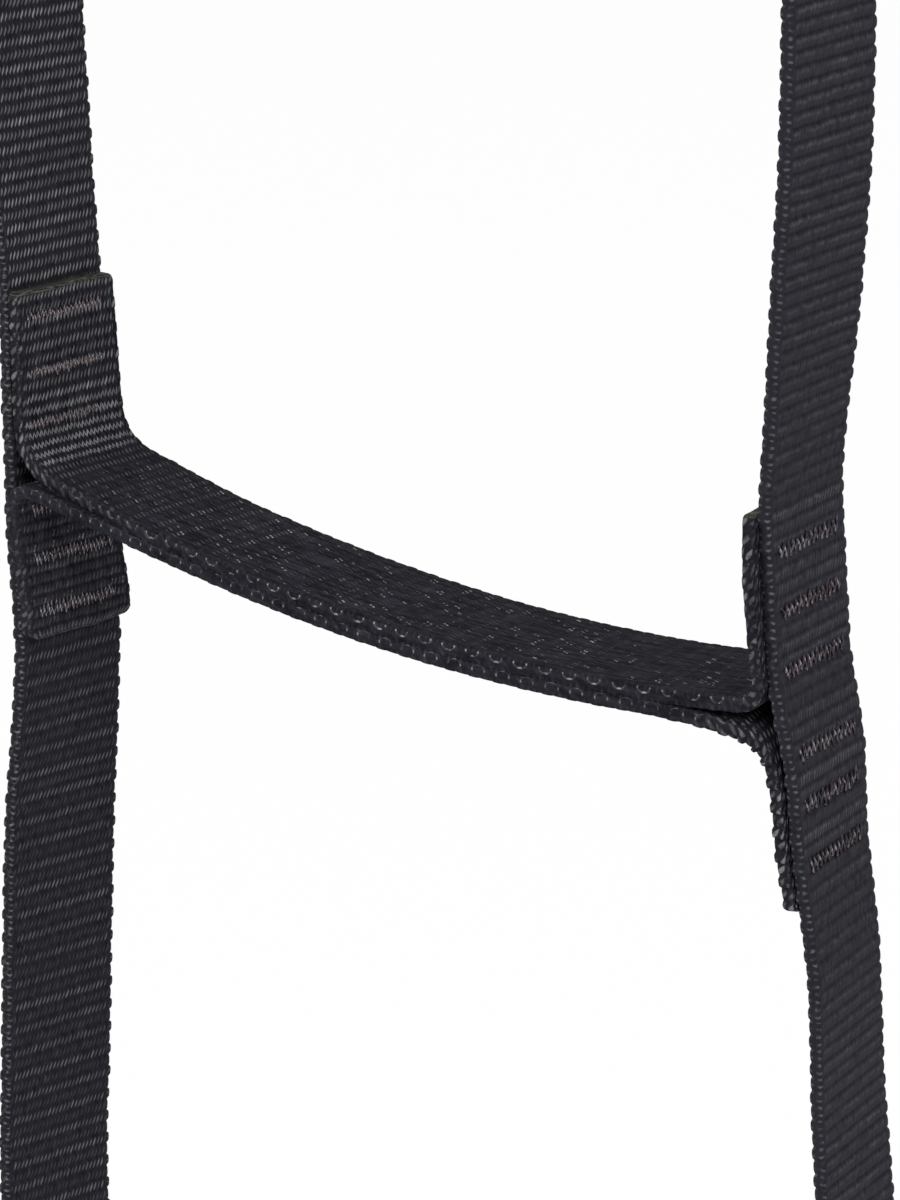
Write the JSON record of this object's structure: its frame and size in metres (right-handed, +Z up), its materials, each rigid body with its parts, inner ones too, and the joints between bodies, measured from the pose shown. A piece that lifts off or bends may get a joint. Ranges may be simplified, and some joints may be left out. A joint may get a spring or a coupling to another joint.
{
  "type": "etrier",
  "caption": "Webbing ladder etrier: flat webbing rails, doubled webbing treads sewn to them with bar tacks, and a sewn clip-in eye at the top.",
  "frame": {"origin": "where a carabiner bears at the top inside the clip-in eye", "axes": "+Z up along the hanging ladder, X along the steps, Y across the webbing's width"},
  "size_m": [0.2154, 0.025, 1.0989],
  "materials": {
    "rail_webbing": "black ribbed flat webbing with a slight synthetic sheen",
    "tread_webbing": "black ribbed flat webbing, matt",
    "bar_tack_thread": "black bonded thread in dense zigzag bars"
  },
  "bodies": {
    "head": {"head_loop": "rail_webbing", "head_tack_1": "bar_tack_thread", "head_tack_2": "bar_tack_thread", "head_tack_3": "bar_tack_thread"},
    "step_1": {"rail_left_1": "rail_webbing", "rail_right_1": "rail_webbing", "tread_upper_1": "tread_webbing", "tread_lower_1": "tread_webbing", "tack_1_left_upper_1": "bar_tack_thread", "tack_1_left_upper_2": "bar_tack_thread", "tack_1_left_upper_3": "bar_tack_thread", "tack_1_left_lower_1": "bar_tack_thread", "tack_1_left_lower_2": "bar_tack_thread", "tack_1_left_lower_3": "bar_tack_thread", "tack_1_right_upper_1": "bar_tack_thread", "tack_1_right_upper_2": "bar_tack_thread", "tack_1_right_upper_3": "bar_tack_thread", "tack_1_right_lower_1": "bar_tack_thread", "tack_1_right_lower_2": "bar_tack_thread", "tack_1_right_lower_3": "bar_tack_thread"},
    "bay_1_left": {"rail_left_bay_1": "rail_webbing"},
    "bay_1_right": {"rail_right_bay_1": "rail_webbing"},
    "step_2": {"rail_left_2": "rail_webbing", "rail_right_2": "rail_webbing", "tread_upper_2": "tread_webbing", "tread_lower_2": "tread_webbing", "tack_2_left_upper_1": "bar_tack_thread", "tack_2_left_upper_2": "bar_tack_thread", "tack_2_left_upper_3": "bar_tack_thread", "tack_2_left_lower_1": "bar_tack_thread", "tack_2_left_lower_2": "bar_tack_thread", "tack_2_left_lower_3": "bar_tack_thread", "tack_2_right_upper_1": "bar_tack_thread", "tack_2_right_upper_2": "bar_tack_thread", "tack_2_right_upper_3": "bar_tack_thread", "tack_2_right_lower_1": "bar_tack_thread", "tack_2_right_lower_2": "bar_tack_thread", "tack_2_right_lower_3": "bar_tack_thread"},
    "bay_2_left": {"rail_left_bay_2": "rail_webbing"},
    "bay_2_right": {"rail_right_bay_2": "rail_webbing"},
    "step_3": {"rail_left_3": "rail_webbing", "rail_right_3": "rail_webbing", "tread_upper_3": "tread_webbing", "tread_lower_3": "tread_webbing", "tack_3_left_upper_1": "bar_tack_thread", "tack_3_left_upper_2": "bar_tack_thread", "tack_3_left_upper_3": "bar_tack_thread", "tack_3_left_lower_1": "bar_tack_thread", "tack_3_left_lower_2": "bar_tack_thread", "tack_3_left_lower_3": "bar_tack_thread", "tack_3_right_upper_1": "bar_tack_thread", "tack_3_right_upper_2": "bar_tack_thread", "tack_3_right_upper_3": "bar_tack_thread", "tack_3_right_lower_1": "bar_tack_thread", "tack_3_right_lower_2": "bar_tack_thread", "tack_3_right_lower_3": "bar_tack_thread"}
  },
  "joints": [
    {"name": "head_swing", "type": "hinge", "parent": "head", "child": "step_1", "pos_m": [0, 0, -0.08795], "axis": [0, 1, 0], "range_deg": [-40, 40]},
    {"name": "bay_1_sway", "type": "hinge", "parent": "step_1", "child": "bay_1_left", "pos_m": [-0.0948, 0, -0.4428], "axis": [0, 1, 0], "range_deg": [-60, 60]},
    {"name": "bay_1_right_sway", "type": "hinge", "parent": "step_1", "child": "bay_1_right", "pos_m": [0.0948, 0, -0.4428], "axis": [0, 1, 0], "range_deg": [-60, 60]},
    {"name": "step_2_level", "type": "hinge", "parent": "bay_1_left", "child": "step_2", "pos_m": [-0.0979, 0, -0.6872], "axis": [0, 1, 0], "range_deg": [-60, 60]},
    {"name": "bay_2_sway", "type": "hinge", "parent": "step_2", "child": "bay_2_left", "pos_m": [-0.09535, 0, -0.7728], "axis": [0, 1, 0], "range_deg": [-60, 60]},
    {"name": "bay_2_right_sway", "type": "hinge", "parent": "step_2", "child": "bay_2_right", "pos_m": [0.10275, 0, -0.7728], "axis": [0, 1, 0], "range_deg": [-60, 60]},
    {"name": "step_3_level", "type": "hinge", "parent": "bay_2_left", "child": "step_3", "pos_m": [-0.09705, 0, -1.0172], "axis": [0, 1, 0], "range_deg": [-60, 60]}
  ],
  "couplings": [
    {"joint": "bay_1_right_sway", "follows": "bay_1_sway", "ratio": 1},
    {"joint": "step_2_level", "follows": "bay_1_sway", "ratio": -1},
    {"joint": "bay_2_right_sway", "follows": "bay_2_sway", "ratio": 1},
    {"joint": "step_3_level", "follows": "bay_2_sway", "ratio": -1}
  ]
}
